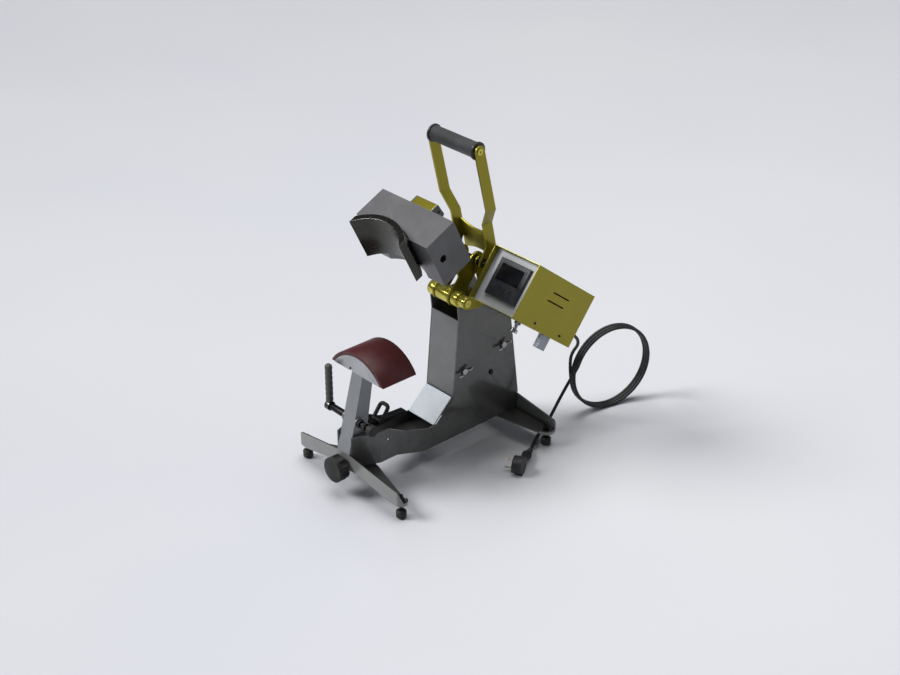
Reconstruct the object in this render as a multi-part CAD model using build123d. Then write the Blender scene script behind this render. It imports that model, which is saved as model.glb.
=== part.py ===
from build123d import *
import os
from math import atan2, cos, degrees, hypot, pi, radians, sin, sqrt, tan

os.makedirs("parts", exist_ok=True)

# Cap heat press: a curved lower platen on a post, a heated head that swings down onto it,
# a two-bar pull handle, a control box hung beside the column and four levelling feet.
#
# Millimetres and degrees. While it is modelled, X = 0 is the middle plane of the press,
# Y = 0 is the line of the front feet (-Y is the operator's side) and Z = 0 is a base line
# that lies just under the table. At the end every piece is moved so that the origin is the
# bottom centre of the press, on the table.

# ---- Clearances ---------------------------------------------------------------------
RUN = 0.05            # radial clearance of a pin that turns in its hole
SEAT = 0.02           # radial clearance of a pin that is fixed in its hole
SIDE = 0.3            # side clearance between plates that turn against each other

table_z = 5.0                  # height of the table over the base line

# ---- Base: two side plates on two foot beams ------------------------------------------
sheet = 3.0                    # side plates and foot beams
base_half_width = 42.5         # outer face of a side plate
nose_fold_y = 40.0             # where they start to fold in
nose_front_y = -20.5           # front edge of the folded nose
nose_floor_z = 64.6            # lower edge over the front beam
bridge_floor_z = 42.0          # lower edge from the bridge to the back
nose_top_z = 137.5
nose_top_end_y = 58.0
bridge_top_z = 91.8
bridge_top_start_y = 167.0
bridge_top_end_y = 190.0
column_foot_y = 237.0          # front of the column where it leaves the sloped cover
column_foot_z = 137.0
column_top_y = 252.0           # front of the column at its upper end
column_top_z = 312.0
column_back_z = 248.0
column_back_y = 403.0
column_heel_y = 425.0
column_heel_z = 78.0
column_roof_z = 346.0
column_roof_back_y = 372.0
bridge_plate_y = 124.0
bridge_plate_end_y = 214.0
bridge_plate_z = 66.0
back_plate_low_z = 90.0
back_plate_high_z = 296.0
side_hole_dia = 5.0
side_hole_y = 60.0
side_hole_z = 111.0

# ---- Feet and foot beams --------------------------------------------------------------
foot_half_track = 150.0
foot_wheelbase = 405.0
foot_dia = 21.5
foot_top_z = 23.0
foot_chamfer = 3.0
stud_dia = 8.0
stud_sink = 10.0               # stud length inside the rubber foot
stud_top_z = 58.0
tip_lip = 4.0                  # low rim round the end of a beam
nut_across_flats = 13.0
nut_height = 6.0
front_tip_radius = 14.0
rear_tip_radius = 20.0
beam_tip_floor_z = 41.0        # upper face of the beam floor at a foot
front_beam_root = 24.0         # wall distance from the foot line in the middle of the press
rear_beam_root = 21.0
beam_root_half = 19.0
front_wall_root_z = 97.0
front_wall_tip_z = 70.0
rear_wall_root_z = 78.0
rear_wall_tip_z = 60.0
front_floor_edge = 28.8        # inner edge of the beam floor, from the foot line
rear_floor_edge = 41.0

# ---- Post and lower platen --------------------------------------------------------------
post_sheet = 3.0
post_top_half = 16.3
post_foot_half = 18.7
post_top_y = 18.0
post_foot_y = -24.0
post_top_depth = 29.0
post_foot_depth = 41.0
platen_radius = 87.0
platen_axis_z = 211.7
platen_flat_z = 262.5
platen_front_y = 17.0
platen_length = 87.5
pad_thickness = 8.0
platen_slot_width = 6.0
platen_slot_height = 9.0
platen_slot_depth = 12.0

# ---- Main pivot and heated head (closed position; opened by head_open_angle) ---------------
pivot_y = 257.0
pivot_z = 359.5
head_open_angle = 64.1
shaft_dia = 16.0
bearing_dia = 32.0
spacer_dia = 25.0
sleeve_dia = 34.0
arm_inner_half = 20.0
arm_plate = 4.0
arm_bearing_end = 42.5         # outer end of the left bearing tube
pivot_end = 1.0                # the bolt stands out of the box's lug
pivot_centre_dia = 4.0
press_gap = 2.0                # between pad and heater when the press is closed
heater_thickness = 12.0
heater_half_width = 74.0
heater_front_y = 0.0
heater_length = 100.0
liner_thickness = 4.3
liner_recess = 3.0
housing_half_width = 104.3
housing_front_y = 25.0
housing_length = 108.0
housing_bottom_z = 310.0
housing_top_z = 387.0
housing_sheet = 2.0
cable_hole_dia = 16.0
cable_hole_y = 77.0
cable_hole_z = 333.0
arm_bar_height = 20.0
arm_front_y = 60.0
arm_lobe_radius = 18.0
arm_hub_radius = 18.7
arm_inner_fillet = 12.0
block_length = 30.0
block_left = -24.0
block_right = 33.0
saddle_left = -75.0            # the saddle's base plate reaches further left
ear_rise = 4.0
ear_reach = 20.0
ear_nose = 2.0
ear_sheet = 3.0
ear_hole_dia = 5.0

# ---- Handle (open position) -----------------------------------------------------------------
handle_pivot_y = 318.0
handle_pivot_z = 424.0
handle_bolt_dia = 12.0
handle_bolt_flats = 19.0
handle_bolt_head = 6.0
handle_plate = 4.0
handle_inner_half = 45.0       # inner face of the bars at the pivot
handle_grip_half = 66.0        # inner face of the bars at the grip
handle_bush_dia = 20.0
handle_lobe_radius = 16.0
joggle_low_z = 512.0
joggle_high_z = 551.0
bar_width = 25.0
grip_y = 280.5
grip_z = 684.4
grip_dia = 32.0
grip_rod_dia = 12.0
grip_head_dia = 14.0
grip_head = 1.5
grip_socket_dia = 5.0
grip_end_gap = 0.4
grip_collar_dia = 37.0
grip_collar = 5.0
bar_knee_y = 312.3             # middle of a bar at the joggle
bar_knee_z = 551.0
bar_bend_y = 322.5             # middle of a bar below the joggle
bar_bend_z = 512.0
bar_rear_low_y = 346.6
bar_rear_low_z = 458.0
tie_plate = 4.0
tie_low_z = 414.0
tie_high_z = 504.0
tie_hollow = 95.0              # radius of the hollow upper edge
tie_hollow_z = 574.0
tie_arch = 88.0                # radius of the arched lower edge
tie_arch_z = 343.0

# ---- Slotted stay between handle pivot and column ----------------------------------------------
stay_inner_half = 28.0
stay_plate = 4.0
stay_width = 22.0
stay_pin_y = 340.0
stay_pin_z = 300.0
stay_pin_dia = 10.0
stay_slot_play = 1.3
stay_end_play = 3.0
stay_end_wall = 8.0

# ---- Cap clamp: hand lever, cross shaft, knob and clamp arm ---------------------------------------
clamp_y = 3.0
clamp_z = 164.0
clamp_shaft_dia = 10.0
clamp_shaft_left = -80.0
clamp_flange = 3.0
clamp_flange_dia = 22.0
lever_x = -73.0
lever_bar_dia = 9.0
lever_top_z = 260.0
lever_hub_dia = 20.0
lever_hub_width = 12.0
lever_grip_dia = 15.5
lever_grip_length = 84.0
lever_grooves = 6
lever_groove_depth = 0.9
clamp_knob_dia = 23.0
clamp_knob_width = 15.0
clamp_knob_x = 52.0
clamp_nut_flats = 17.0
clamp_nut_width = 7.0
clamp_nut_gap = 9.0
clamp_spacer_dia = 15.0
arm_pin_y = 14.0
arm_pin_z = 134.0
arm_pin_dia = 8.0
clamp_arm_half = 7.0
clamp_arm_height = 9.0
clamp_arm_end_y = 134.0
clamp_arm_drop = 4.0
hook_tube_dia = 8.5
hook_y = 88.0
hook_rise = 30.0
hook_half = 12.0

# ---- Front adjusting knob -----------------------------------------------------------------------
front_knob_z = 66.0
front_knob_dia = 54.0
front_knob_face_y = -54.0
front_knob_length = 25.0
front_knob_boss_dia = 30.0
front_knob_flutes = 8
front_knob_flute = 8.0         # radius of a hollow between two lobes
front_knob_lip = 7.0           # thickness of the plain front disc
front_screw_dia = 10.0
front_screw_end_y = 6.0

# ---- Control box, measured along its own tilted axes from the main pivot ------------------------------
box_tilt = 38.0
box_left = 62.0
box_width = 127.0
box_depth = 206.0
box_height = 118.0
box_front = -7.0               # front rim, along the tilted depth axis
box_floor = 14.5               # underside, above the pivot along the tilted height axis
box_sheet = 1.5
panel_recess = 15.0
panel_sheet = 2.0
lug_radius = 13.0
lug_back = 44.0
controller_width = 85.0
controller_height = 80.0
controller_bezel = 6.0
controller_body_depth = 62.0
controller_body_margin = 3.0
controller_offset = 1.0        # middle of the controller right of the panel's middle
controller_rise = 3.0
button_dia = 7.0
button_stand = 1.5
button_travel = 1.2
button_spacing = 15.0
button_drop = 18.0             # below the controller's middle
button_shift = 9.0
vent_length = 57.0
vent_width = 3.0
vent_back = 78.0
vent_drop = 34.0
vent_pitch = 19.0
vent_step = 6.0
gland_dia = 14.0
gland_length = 14.0
gland_flange_dia = 20.0
gland_flange = 4.0
gland_x = 150.0
gland_drop = 87.0
heatsink_right = 24.0          # from the right side of the box
heatsink_width = 12.0
heatsink_back = 38.0           # from the back of the box to the heatsink
heatsink_length = 26.0
heatsink_height = 30.0
heatsink_base = 5.0
heatsink_fin = 2.6
heatsink_gap = 3.2
box_bolt_x = 178.0
box_bolt_back = 34.0
box_bolt_dia = 8.0
box_bolt_length = 24.0
box_bolt_flats = 13.0
box_bolt_head = 8.0
box_screw_dia = 5.0
box_screw_head = 1.5
box_screw_rise = 12.5          # above the underside
box_screw_places = (70.0, 160.0)   # back from the front rim

# ---- Wing bolts and screws in the right side plate -----------------------------------------------------
wing_bolt_places = [("front", 264.0, 193.0), ("rear", 375.0, 215.5)]
wing_bolt_dia = 8.0
wing_hub_dia = 13.0
wing_hub_length = 7.0
wing_span = 38.0
wing_sheet = 3.0
wing_height = 13.0
wing_turn = 16.0               # lean of the wings, from the horizontal
weld_nut_dia = 14.0
weld_nut_height = 5.0
side_screw_y = 343.0
side_screw_z = 160.0
side_screw_dia = 6.0
side_screw_head_dia = 11.0
side_screw_head = 3.5

# ---- Power cord, its coil and plug ----------------------------------------------------------------------
cord_dia = 7.0
coil_radius = 96.5             # middle of the strand
coil_pitch = 7.1               # from turn to turn, side by side
coil_turns = 3
coil_x = 129.6
coil_y = 618.8
coil_turn = 78.0               # direction of the coil's plane, from +X
cord_to_coil = [               # after the gland, down to the coil
    (150.0, 476.5, 245.7),
    (137.0, 512.0, 206.0),
    (104.0, 522.0, 162.0),
    (99.5, 524.0, 135.0),
    (99.1, 526.6, 108.0),
]
cord_to_plug = [               # from the coil, under the right rear foot beam, to the plug
    (120.5, 525.0, 130.0),
    (118.0, 505.0, 107.0),
    (113.0, 482.0, 70.0),
    (110.0, 460.0, 35.0),
    (112.0, 440.0, 14.0),
    (118.0, 411.0, 10.0),
    (155.3, 353.0, 12.5),
]
plug_dia = 38.0
plug_thickness = 22.0
plug_pin_dia = 4.8
plug_pin_length = 19.0
plug_pin_spacing = 19.0
plug_body_x = 192.0
plug_body_y = 284.0
plug_sleeve_length = 24.0
plug_sleeve_dia = 12.0
plug_collar_dia = 21.0
plug_collar = 2.5
plug_grip_dia = 17.0


# ---- Helpers ---------------------------------------------------------------------------------------------
nodes = {}
cord_nodes = ("power_cord", "cord_coil", "plug_body", "plug_pins")


def polygon(points):
    """Flat face with straight edges through the points."""
    return make_face(Polyline(*points, close=True))


def prism_x(face_or_points, x_low, x_high):
    """Outline in (y, z), extruded from x_low to x_high."""
    face = polygon(face_or_points) if isinstance(face_or_points, list) else face_or_points
    return extrude(Plane.YZ.offset(x_low) * face, amount=x_high - x_low)


def prism_y(face_or_points, y_low, y_high):
    """Outline in (x, z), extruded from y_low to y_high."""
    face = polygon(face_or_points) if isinstance(face_or_points, list) else face_or_points
    return extrude(Plane.XZ.offset(-y_high) * face, amount=y_high - y_low)


def prism_z(face_or_points, z_low, z_high):
    """Outline in (x, y), extruded from z_low to z_high."""
    face = polygon(face_or_points) if isinstance(face_or_points, list) else face_or_points
    return extrude(Plane.XY.offset(z_low) * face, amount=z_high - z_low)


def block(x_low, x_high, y_low, y_high, z_low, z_high):
    size = Box(x_high - x_low, y_high - y_low, z_high - z_low)
    return Pos((x_low + x_high) / 2, (y_low + y_high) / 2, (z_low + z_high) / 2) * size


def rod_x(y, z, radius, x_low, x_high):
    return Pos((x_low + x_high) / 2, y, z) * Rot(0, 90, 0) * Cylinder(radius, x_high - x_low)


def rod_y(x, z, radius, y_low, y_high):
    return Pos(x, (y_low + y_high) / 2, z) * Rot(90, 0, 0) * Cylinder(radius, y_high - y_low)


def rod_z(x, y, radius, z_low, z_high):
    return Pos(x, y, (z_low + z_high) / 2) * Cylinder(radius, z_high - z_low)


def disc(centre, radius):
    """Round face in the plane of an outline."""
    return Pos(centre[0], centre[1]) * Circle(radius)


def tapered_link(start, start_radius, end, end_radius):
    """Outline of a link: two round ends joined by their common tangents."""
    along = atan2(end[1] - start[1], end[0] - start[0])
    length = hypot(end[0] - start[0], end[1] - start[1])
    lean = pi / 2 - atan2(start_radius - end_radius, length)
    corners = []
    for centre, radius, sides in ((start, start_radius, (1, -1)), (end, end_radius, (-1, 1))):
        for side in sides:
            angle = along + side * lean
            corners.append((centre[0] + radius * cos(angle), centre[1] + radius * sin(angle)))
    return polygon(corners) + disc(start, start_radius) + disc(end, end_radius)


def mirrored(shape):
    return mirror(shape, about=Plane.YZ)


def both_sides(name, shape):
    """A right-hand piece and its left-hand twin, each in its own node."""
    nodes[name + "_right"] = shape
    nodes[name + "_left"] = mirrored(shape)


def hex_bar_z(x, y, flats, z_low, z_high):
    return Pos(x, y, z_low) * extrude(RegularPolygon(flats / 2, 6, major_radius=False), z_high - z_low)


def hex_bar_x(y, z, flats, x_low, x_high):
    face = RegularPolygon(flats / 2, 6, major_radius=False)
    return Pos(x_low, y, z) * Rot(0, 90, 0) * extrude(face, x_high - x_low)


def turned(y, z, angle):
    """Turn the offset (y, z) about X by an angle in degrees."""
    c, s = cos(radians(angle)), sin(radians(angle))
    return y * c - z * s, y * s + z * c


def opened(shape):
    """Swing a piece of the head from the closed to the open (stored) position."""
    return shape.rotate(Axis((0, pivot_y, pivot_z), (1, 0, 0)), -head_open_angle)


def on_box(shape):
    """Place a control box piece: its origin on the pivot axis, tilted back."""
    return Pos(0, pivot_y, pivot_z) * Rot(-box_tilt, 0, 0) * shape


# ---- Derived places ----------------------------------------------------------------------------------------
base_inner_half = base_half_width - sheet
nose_half_width = post_foot_half + SIDE + sheet    # the folded front just clears the post
bearing_radius = bearing_dia / 2
shaft_bore = shaft_dia / 2 + RUN
arm_outer_half = arm_inner_half + arm_plate
pad_radius = platen_radius + pad_thickness
heater_inner = pad_radius + press_gap
heater_outer = heater_inner + heater_thickness
housing_arc = heater_outer + liner_thickness
housing_back_y = housing_front_y + housing_length
post_foot_z = front_wall_root_z


def post_front_at(z):
    """Y of the post's leaning front face at a height."""
    return post_foot_y + (post_top_y - post_foot_y) * (z - post_foot_z) / (platen_flat_z - post_foot_z)


def post_half_at(z):
    return post_foot_half + (post_top_half - post_foot_half) * (z - post_foot_z) / (platen_flat_z - post_foot_z)


def column_front_at(z):
    """Y of the column's leaning front edge at a height."""
    return column_foot_y + (column_top_y - column_foot_y) * (z - column_foot_z) / (column_top_z - column_foot_z)


def column_back_at(z):
    return column_heel_y + (column_back_y - column_heel_y) * (z - column_heel_z) / (column_back_z - column_heel_z)


# ---- Base ------------------------------------------------------------------------------------------------------
def wall_y_at(root, tip_radius, x):
    """Distance of a foot beam's outer wall from the foot line, at a distance x from the middle."""
    share = max(0.0, (x - beam_root_half) / (foot_half_track - beam_root_half))
    return root + (tip_radius - root) * share


def side_plates():
    """Bent side plates: a flat flank with the front part folded in to the post's width."""
    heel_inside = foot_wheelbase + wall_y_at(rear_beam_root, rear_tip_radius, base_half_width) - sheet
    wall_top = rear_wall_root_z
    seat_y = sqrt(bearing_radius ** 2 - (pivot_z - column_roof_z) ** 2)
    outline = [
        (nose_front_y, nose_floor_z),
        (nose_front_y, nose_top_z),
        (nose_top_end_y, nose_top_z),
        (104.0, 113.0),
        (bridge_top_start_y, bridge_top_z),
        (bridge_top_end_y, bridge_top_z),
        (column_foot_y, column_foot_z),
        (column_top_y, column_top_z),
        (pivot_y - seat_y, column_roof_z),
        (column_roof_back_y, column_roof_z),
        (column_back_at(300.0), 300.0),
        (column_heel_y, column_heel_z + SIDE),
        (heel_inside, wall_top + SIDE),
        (heel_inside, bridge_floor_z),
        (153.5, bridge_floor_z),
        (82.0, nose_floor_z),
    ]
    flank = prism_x(outline, 0, base_half_width)
    folded = [
        (nose_half_width, nose_front_y),
        (base_half_width, nose_fold_y),
        (base_half_width, column_heel_y + sheet),
        (base_inner_half, column_heel_y + sheet),
        (base_inner_half, nose_fold_y + sheet / 2),
        (nose_half_width - sheet, nose_front_y + sheet / 2),
    ]
    plate = flank & prism_z(folded, 0, pivot_z)
    plate -= rod_x(pivot_y, pivot_z, bearing_radius + SEAT, 0, base_half_width + sheet)
    right = plate
    for _, y, z in wing_bolt_places:
        right += rod_x(y, z, weld_nut_dia / 2, base_inner_half - weld_nut_height, base_inner_half)
        right -= rod_x(y, z, wing_bolt_dia / 2 + RUN, 0, base_half_width + sheet)
    right -= rod_x(side_screw_y, side_screw_z, side_screw_dia / 2 + SEAT, 0, base_half_width + sheet)
    right -= rod_x(side_hole_y, side_hole_z, side_hole_dia / 2, 0, base_half_width + sheet)
    nodes["side_plate_right"] = right
    nodes["side_plate_left"] = mirrored(plate)


def foot_beam(line_y, outward, root, radius, root_floor_z, floor_edge, wall_root_z, wall_tip_z):
    """Folded foot beam: sloping floor, outer wall, and a rounded tip round each foot stud."""
    tip = foot_half_track
    shapes = []
    floor_line = [(0, root_floor_z), (base_half_width, root_floor_z), (tip - radius, beam_tip_floor_z)]
    floor_line.append((tip + radius, beam_tip_floor_z))
    floor_below = [(x, z - sheet) for x, z in reversed(floor_line)]
    reach = floor_edge + root + sheet
    slab = prism_y(floor_line + floor_below, -reach, reach)
    plan = [
        (0, -root),
        (beam_root_half, -root),
        (tip, -radius),
        (tip, radius),
        (base_half_width, floor_edge),
        (0, floor_edge),
    ]
    shapes.append(slab & prism_z(polygon(plan) + disc((tip, 0), radius), 0, root_floor_z))
    wall_plan = [
        (0, -root),
        (beam_root_half, -root),
        (tip, -radius),
        (tip, -radius + sheet),
        (beam_root_half, -root + sheet),
        (0, -root + sheet),
    ]
    wall_face = [
        (0, root_floor_z - sheet),
        (base_half_width, root_floor_z - sheet),
        (tip - radius, beam_tip_floor_z - sheet),
        (tip, beam_tip_floor_z - sheet),
        (tip, wall_tip_z),
        (beam_root_half, wall_root_z),
        (0, wall_root_z),
    ]
    shapes.append(prism_z(wall_plan, 0, wall_root_z) & prism_y(wall_face, -reach, reach))
    ring = rod_z(tip, 0, radius, beam_tip_floor_z - sheet, wall_tip_z)
    ring -= rod_z(tip, 0, radius - sheet, 0, wall_root_z)
    ring &= block(tip, tip + radius, -radius, radius, 0, wall_tip_z)
    lip_z = beam_tip_floor_z + tip_lip
    fade = [(-radius, 0), (-radius, wall_tip_z), (-radius / 3, lip_z), (radius, lip_z), (radius, 0)]
    shapes.append(ring & prism_x(fade, tip, tip + radius))
    half = shapes[0] + shapes[1] + shapes[2]
    half -= rod_z(tip, 0, stud_dia / 2 + SEAT, 0, wall_root_z)
    beam = half + mirrored(half)
    if outward > 0:
        beam = mirror(beam, about=Plane.XZ)
    return Pos(0, line_y, 0) * beam


def foot_beams():
    front = foot_beam(
        0, -1, front_beam_root, front_tip_radius, nose_floor_z, front_floor_edge,
        front_wall_root_z, front_wall_tip_z,
    )
    ear_bottom = front_knob_z - front_screw_dia / 2 - 9.0
    front += block(-16, 16, -front_beam_root, -front_beam_root + sheet, ear_bottom, nose_floor_z)
    notch_half = front_screw_dia / 2 + 4.0
    front -= block(-notch_half, notch_half, -front_beam_root + sheet, front_screw_end_y + 4, 0, nose_floor_z + 1)
    front -= rod_y(0, front_knob_z, front_screw_dia / 2 + RUN, -front_beam_root - 1, 0)
    nodes["front_foot_beam"] = front
    nodes["rear_foot_beam"] = foot_beam(
        foot_wheelbase, 1, rear_beam_root, rear_tip_radius, bridge_floor_z, rear_floor_edge,
        rear_wall_root_z, rear_wall_tip_z,
    )


def feet():
    """Rubber levelling feet on threaded studs, each locked by a nut above and below the beam."""
    pads, fasteners = [], []
    floor_under = beam_tip_floor_z - sheet
    for x in (-foot_half_track, foot_half_track):
        for y in (0, foot_wheelbase):
            pad = rod_z(x, y, foot_dia / 2, table_z, foot_top_z)
            pad = chamfer(pad.edges().filter_by(GeomType.CIRCLE), foot_chamfer)
            pad -= rod_z(x, y, stud_dia / 2 + SEAT, foot_top_z - stud_sink, foot_top_z)
            pads.append(pad)
            fasteners.append(rod_z(x, y, stud_dia / 2, foot_top_z - stud_sink, stud_top_z))
            low_nut = hex_bar_z(x, y, nut_across_flats, floor_under - nut_height, floor_under)
            top_nut = hex_bar_z(x, y, nut_across_flats, beam_tip_floor_z, beam_tip_floor_z + nut_height)
            for nut in (low_nut, top_nut):
                fasteners.append(nut - rod_z(x, y, stud_dia / 2 + SEAT, 0, stud_top_z))
    nodes["rubber_feet"] = Compound(pads)
    nodes["foot_studs_and_nuts"] = Compound(fasteners)


def base_plates():
    """Plates that close the base between the two side plates."""
    half = base_inner_half
    slope = [
        (bridge_top_end_y - 6.0, bridge_top_z + 0.5),
        (column_foot_y - 3.0, column_foot_z + 3.0),
        (column_foot_y - 1.0, column_foot_z),
        (bridge_top_end_y - 4.0, bridge_top_z - 2.5),
    ]
    nodes["sloped_cover"] = prism_x(slope, -half, half)
    z_low, z_high = column_foot_z, column_top_z
    front = [
        (column_front_at(z_low), z_low + 1.0),
        (column_front_at(z_high), z_high),
        (column_front_at(z_high) + sheet, z_high),
        (column_front_at(z_low) + sheet, z_low + 1.0),
    ]
    nodes["column_front_plate"] = prism_x(front, -half, half)
    z_low, z_high = back_plate_low_z, back_plate_high_z
    back = [
        (column_back_at(z_low) - 2.0, z_low),
        (column_back_at(z_high) - 2.0, z_high),
        (column_back_at(z_high) - 2.0 - sheet, z_high),
        (column_back_at(z_low) - 2.0 - sheet, z_low),
    ]
    nodes["column_back_plate"] = prism_x(back, -half, half)
    floor = [
        (bridge_plate_y, bridge_plate_z),
        (bridge_plate_end_y, bridge_plate_z),
        (bridge_plate_end_y, bridge_plate_z + sheet),
        (bridge_plate_y, bridge_plate_z + sheet),
    ]
    nodes["bridge_floor_plate"] = prism_x(floor, -half, half)


def post():
    """U-shaped post that leans back and carries the lower platen."""
    z_low, z_high = post_foot_z, platen_flat_z
    outer = [
        (post_front_at(z_low), z_low),
        (post_front_at(z_high), z_high),
        (post_front_at(z_high) + post_top_depth, z_high),
        (post_front_at(z_low) + post_foot_depth, z_low),
    ]
    taper = [
        (-post_foot_half, z_low),
        (post_foot_half, z_low),
        (post_top_half, z_high),
        (-post_top_half, z_high),
    ]
    hollow = [(y + post_sheet, z) for y, z in outer[:2]] + [(y + 100.0, z) for y, z in outer[2:]]
    narrow = [
        (-post_foot_half + post_sheet, z_low),
        (post_foot_half - post_sheet, z_low),
        (post_top_half - post_sheet, z_high),
        (-post_top_half + post_sheet, z_high),
    ]
    wide = post_foot_half + post_sheet
    body = prism_x(outer, -wide, wide) & prism_y(taper, -200, 200)
    body -= prism_x(hollow, -wide, wide) & prism_y(narrow, -200, 200)
    body -= rod_x(arm_pin_y, arm_pin_z, arm_pin_dia / 2 + SEAT, -wide, wide)
    body -= rod_x(clamp_y, clamp_z, clamp_shaft_dia / 2 + RUN, -wide, wide)
    nodes["platen_post"] = body
    half = post_half_at(arm_pin_z)
    arm_pin = rod_x(arm_pin_y, arm_pin_z, arm_pin_dia / 2, -half, half)
    stay_pin = rod_x(stay_pin_y, stay_pin_z, stay_pin_dia / 2, -base_inner_half, base_inner_half)
    nodes["cross_pins"] = Compound([arm_pin, stay_pin])


def platen():
    """Aluminium platen segment with its silicone pad."""
    y_low, y_high = platen_front_y, platen_front_y + platen_length
    above = [(-200, platen_flat_z), (200, platen_flat_z), (200, 500), (-200, 500)]
    cut = prism_y(above, y_low, y_high)
    core = rod_y(0, platen_axis_z, platen_radius, y_low, y_high)
    metal = core & cut
    slot_x = -post_top_half
    metal -= block(
        slot_x - platen_slot_width, slot_x, y_low, y_low + platen_slot_depth,
        platen_flat_z, platen_flat_z + platen_slot_height,
    )
    nodes["lower_platen"] = metal
    nodes["silicone_pad"] = (rod_y(0, platen_axis_z, pad_radius, y_low, y_high) - core) & cut


# ---- Pivot ---------------------------------------------------------------------------------------------------------
def pivot():
    """Fixed pivot bolt in tubes on the side plates; the head's sleeve turns on it."""
    end = box_left + box_sheet + pivot_end
    bolt = rod_x(pivot_y, pivot_z, shaft_dia / 2, -arm_bearing_end, end)
    nodes["pivot_bolt"] = bolt - rod_x(pivot_y, pivot_z, pivot_centre_dia / 2, end - pivot_end, end)
    tubes = []
    spans = (
        (-arm_bearing_end, -arm_outer_half - SIDE, bearing_radius),
        (arm_outer_half + SIDE, base_half_width, bearing_radius),
        (base_half_width, box_left, spacer_dia / 2),
    )
    for x_low, x_high, radius in spans:
        tube = rod_x(pivot_y, pivot_z, radius, x_low, x_high)
        tubes.append(tube - rod_x(pivot_y, pivot_z, shaft_dia / 2 + SEAT, x_low - 1, x_high + 1))
    nodes["pivot_tubes"] = Compound(tubes)


# ---- Head -----------------------------------------------------------------------------------------------------------
def handle_pivot_closed():
    dy, dz = turned(handle_pivot_y - pivot_y, handle_pivot_z - pivot_z, head_open_angle)
    return pivot_y + dy, pivot_z + dz


def arm_plates():
    """Head arms: a link from the pivot up to the handle pivot, and a bar over the housing."""
    top = handle_pivot_closed()
    link = tapered_link((pivot_y, pivot_z), arm_hub_radius, top, arm_lobe_radius)
    bar_low, bar_high = housing_top_z + 2.0, housing_top_z + 2.0 + arm_bar_height
    bar = polygon([(arm_front_y, bar_low), (arm_front_y, bar_high), (top[0], bar_high), (top[0] + 12.0, bar_low)])
    outline = link + bar
    inner_corner = outline.vertices().sort_by_distance(Vector(pivot_y - arm_hub_radius, bar_low, 0))[0]
    outline = fillet(inner_corner, arm_inner_fillet)
    upper_corner = outline.vertices().sort_by_distance(Vector(top[0] - arm_lobe_radius, bar_high, 0))[0]
    outline = fillet(upper_corner, arm_inner_fillet)
    plate = prism_x(outline, arm_inner_half, arm_outer_half)
    plate -= rod_x(pivot_y, pivot_z, shaft_bore, 0, 100)
    plate -= rod_x(top[0], top[1], handle_bolt_dia / 2 + SEAT, 0, 100)
    both_sides("head_arm", opened(plate))
    sleeve = rod_x(pivot_y, pivot_z, sleeve_dia / 2, -arm_inner_half, arm_inner_half)
    nodes["pivot_sleeve"] = opened(sleeve - rod_x(pivot_y, pivot_z, shaft_bore, -100, 100))


def head_block():
    """Cross block at the front of the arms, held between two ears on the housing."""
    y_low, y_high = arm_front_y - block_length, arm_front_y
    z_low, z_high = housing_top_z + ear_sheet, housing_top_z + 2.0 + arm_bar_height
    hole_y, hole_z = (y_low + y_high) / 2, z_high - ear_hole_dia
    body = block(block_left, block_right, y_low, y_high, z_low, z_high)
    body -= rod_x(hole_y, hole_z, ear_hole_dia / 2 + SEAT, -100, 100)
    nodes["head_block"] = opened(body)
    saddle = block(saddle_left, block_right + ear_sheet, y_low, y_high, housing_top_z, z_low)
    ear = [
        (y_low, housing_top_z),
        (y_high + ear_reach, housing_top_z),
        (y_high - ear_nose, z_high + ear_rise),
        (y_low, z_high),
    ]
    ears = ((block_right, block_right + ear_sheet), (block_left - ear_sheet, block_left))
    for x_low, x_high in ears:
        saddle += prism_x(ear, x_low, x_high)
    saddle -= rod_x(hole_y, hole_z, ear_hole_dia / 2 + SEAT, -100, 100)
    nodes["head_saddle"] = opened(saddle)
    pin_end = block_right - ear_sheet
    nodes["head_cross_pin"] = opened(rod_x(hole_y, hole_z, ear_hole_dia / 2, block_left, pin_end))


def housing_outline(inset):
    """Front view (x, z) of the housing, moved in by an inset, without its arch."""
    half = housing_half_width - inset
    z_low, z_high = housing_bottom_z + inset, housing_top_z - inset
    return [(-half, z_low), (half, z_low), (half, z_high), (-half, z_high)]


def housing():
    """Folded sheet housing, open at the back and closed by a cover, filled with insulation."""
    y_low, y_high = housing_front_y, housing_back_y
    arch = rod_y(0, platen_axis_z, housing_arc, y_low - 1, y_high + 1)
    arch_skin = rod_y(0, platen_axis_z, housing_arc + housing_sheet, y_low - 1, y_high + 1)
    body = prism_y(housing_outline(0), y_low, y_high - housing_sheet) - arch
    hollow = prism_y(housing_outline(housing_sheet), y_low + housing_sheet, y_high) - arch_skin
    body -= hollow
    body -= rod_x(cable_hole_y, cable_hole_z, cable_hole_dia / 2, 0, housing_half_width + 1)
    nodes["head_housing"] = opened(body)
    cover = prism_y(housing_outline(0), y_high - housing_sheet, y_high) - arch
    nodes["housing_back_cover"] = opened(cover)
    wool = prism_y(housing_outline(housing_sheet), y_low + housing_sheet, y_high - housing_sheet) - arch_skin
    wool -= rod_x(cable_hole_y, cable_hole_z, cable_hole_dia / 2, 60.0, housing_half_width)
    nodes["head_insulation"] = opened(wool)


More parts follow.
